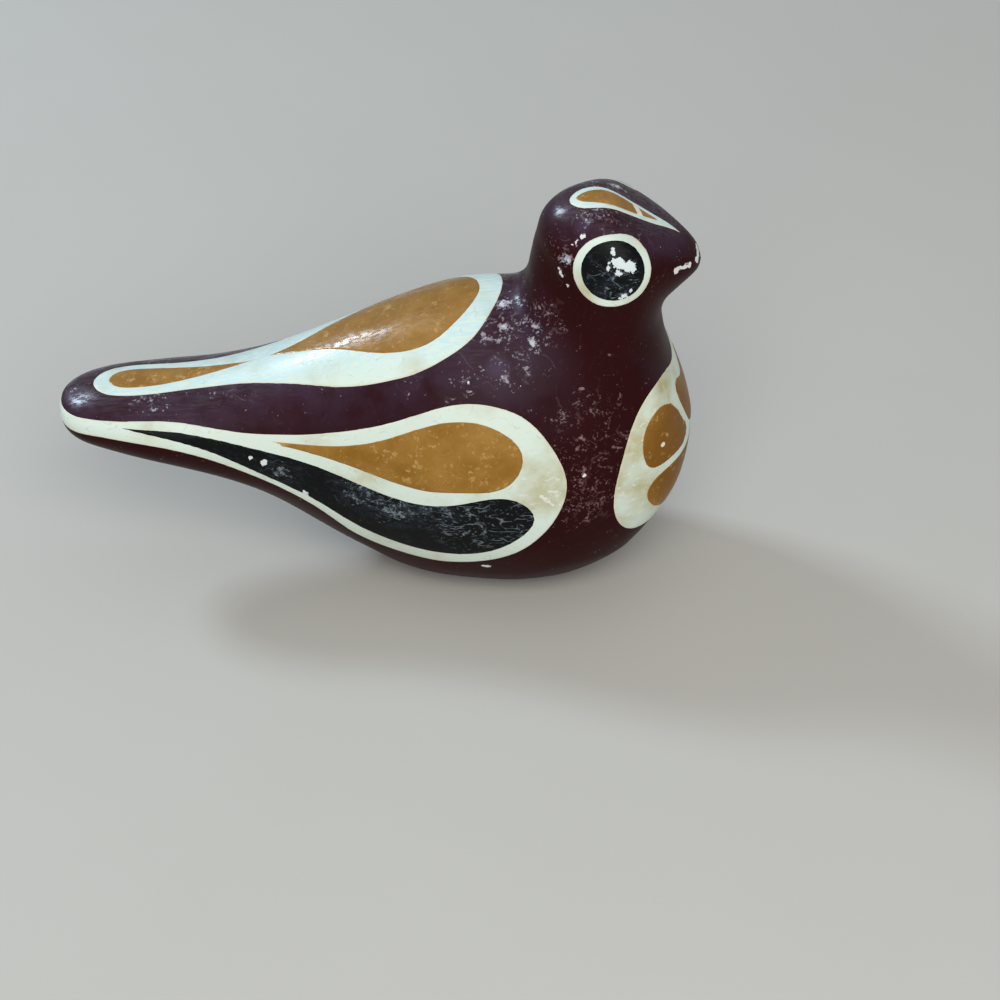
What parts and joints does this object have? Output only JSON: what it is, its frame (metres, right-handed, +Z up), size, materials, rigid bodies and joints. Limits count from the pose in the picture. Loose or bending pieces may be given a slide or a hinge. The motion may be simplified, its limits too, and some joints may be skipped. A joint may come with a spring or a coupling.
{
  "type": "pottery bird figurine",
  "caption": "Hollow pottery bird figurine with a maroon slip ground and cream, ochre and black painted drops, standing on a small flat under its belly.",
  "frame": {"origin": "middle of the bird's length and width, at the flat it stands on", "axes": "+X towards the beak, +Y towards the bird's left side, +Z up"},
  "size_m": [0.1501, 0.0606, 0.1013],
  "materials": {
    "terracotta": "matte",
    "luting_slip": "matte",
    "maroon_slip": "satin",
    "cream_slip": "satin",
    "ochre_slip": "satin",
    "black_slip": "satin"
  },
  "bodies": {
    "root": {"clay_half_right": "terracotta", "clay_half_left": "terracotta", "luting_seam": "luting_slip", "ground_coat": "maroon_slip", "wing_panel_right": "cream_slip", "wing_panel_left": "cream_slip", "wing_upper_drop_right": "ochre_slip", "wing_upper_drop_left": "ochre_slip", "wing_lower_drop_right": "black_slip", "wing_lower_drop_left": "black_slip", "eye_ring_right": "cream_slip", "eye_ring_left": "cream_slip", "pupil_right": "black_slip", "pupil_left": "black_slip", "breast_panel": "cream_slip", "breast_petal_right": "ochre_slip", "breast_petal_left": "ochre_slip", "breast_petal_low": "ochre_slip", "breast_petal_top": "ochre_slip", "back_panel": "cream_slip", "back_drop": "ochre_slip", "tail_drop": "ochre_slip", "crown_panel": "cream_slip", "crown_drop": "ochre_slip"}
  },
  "joints": []
}
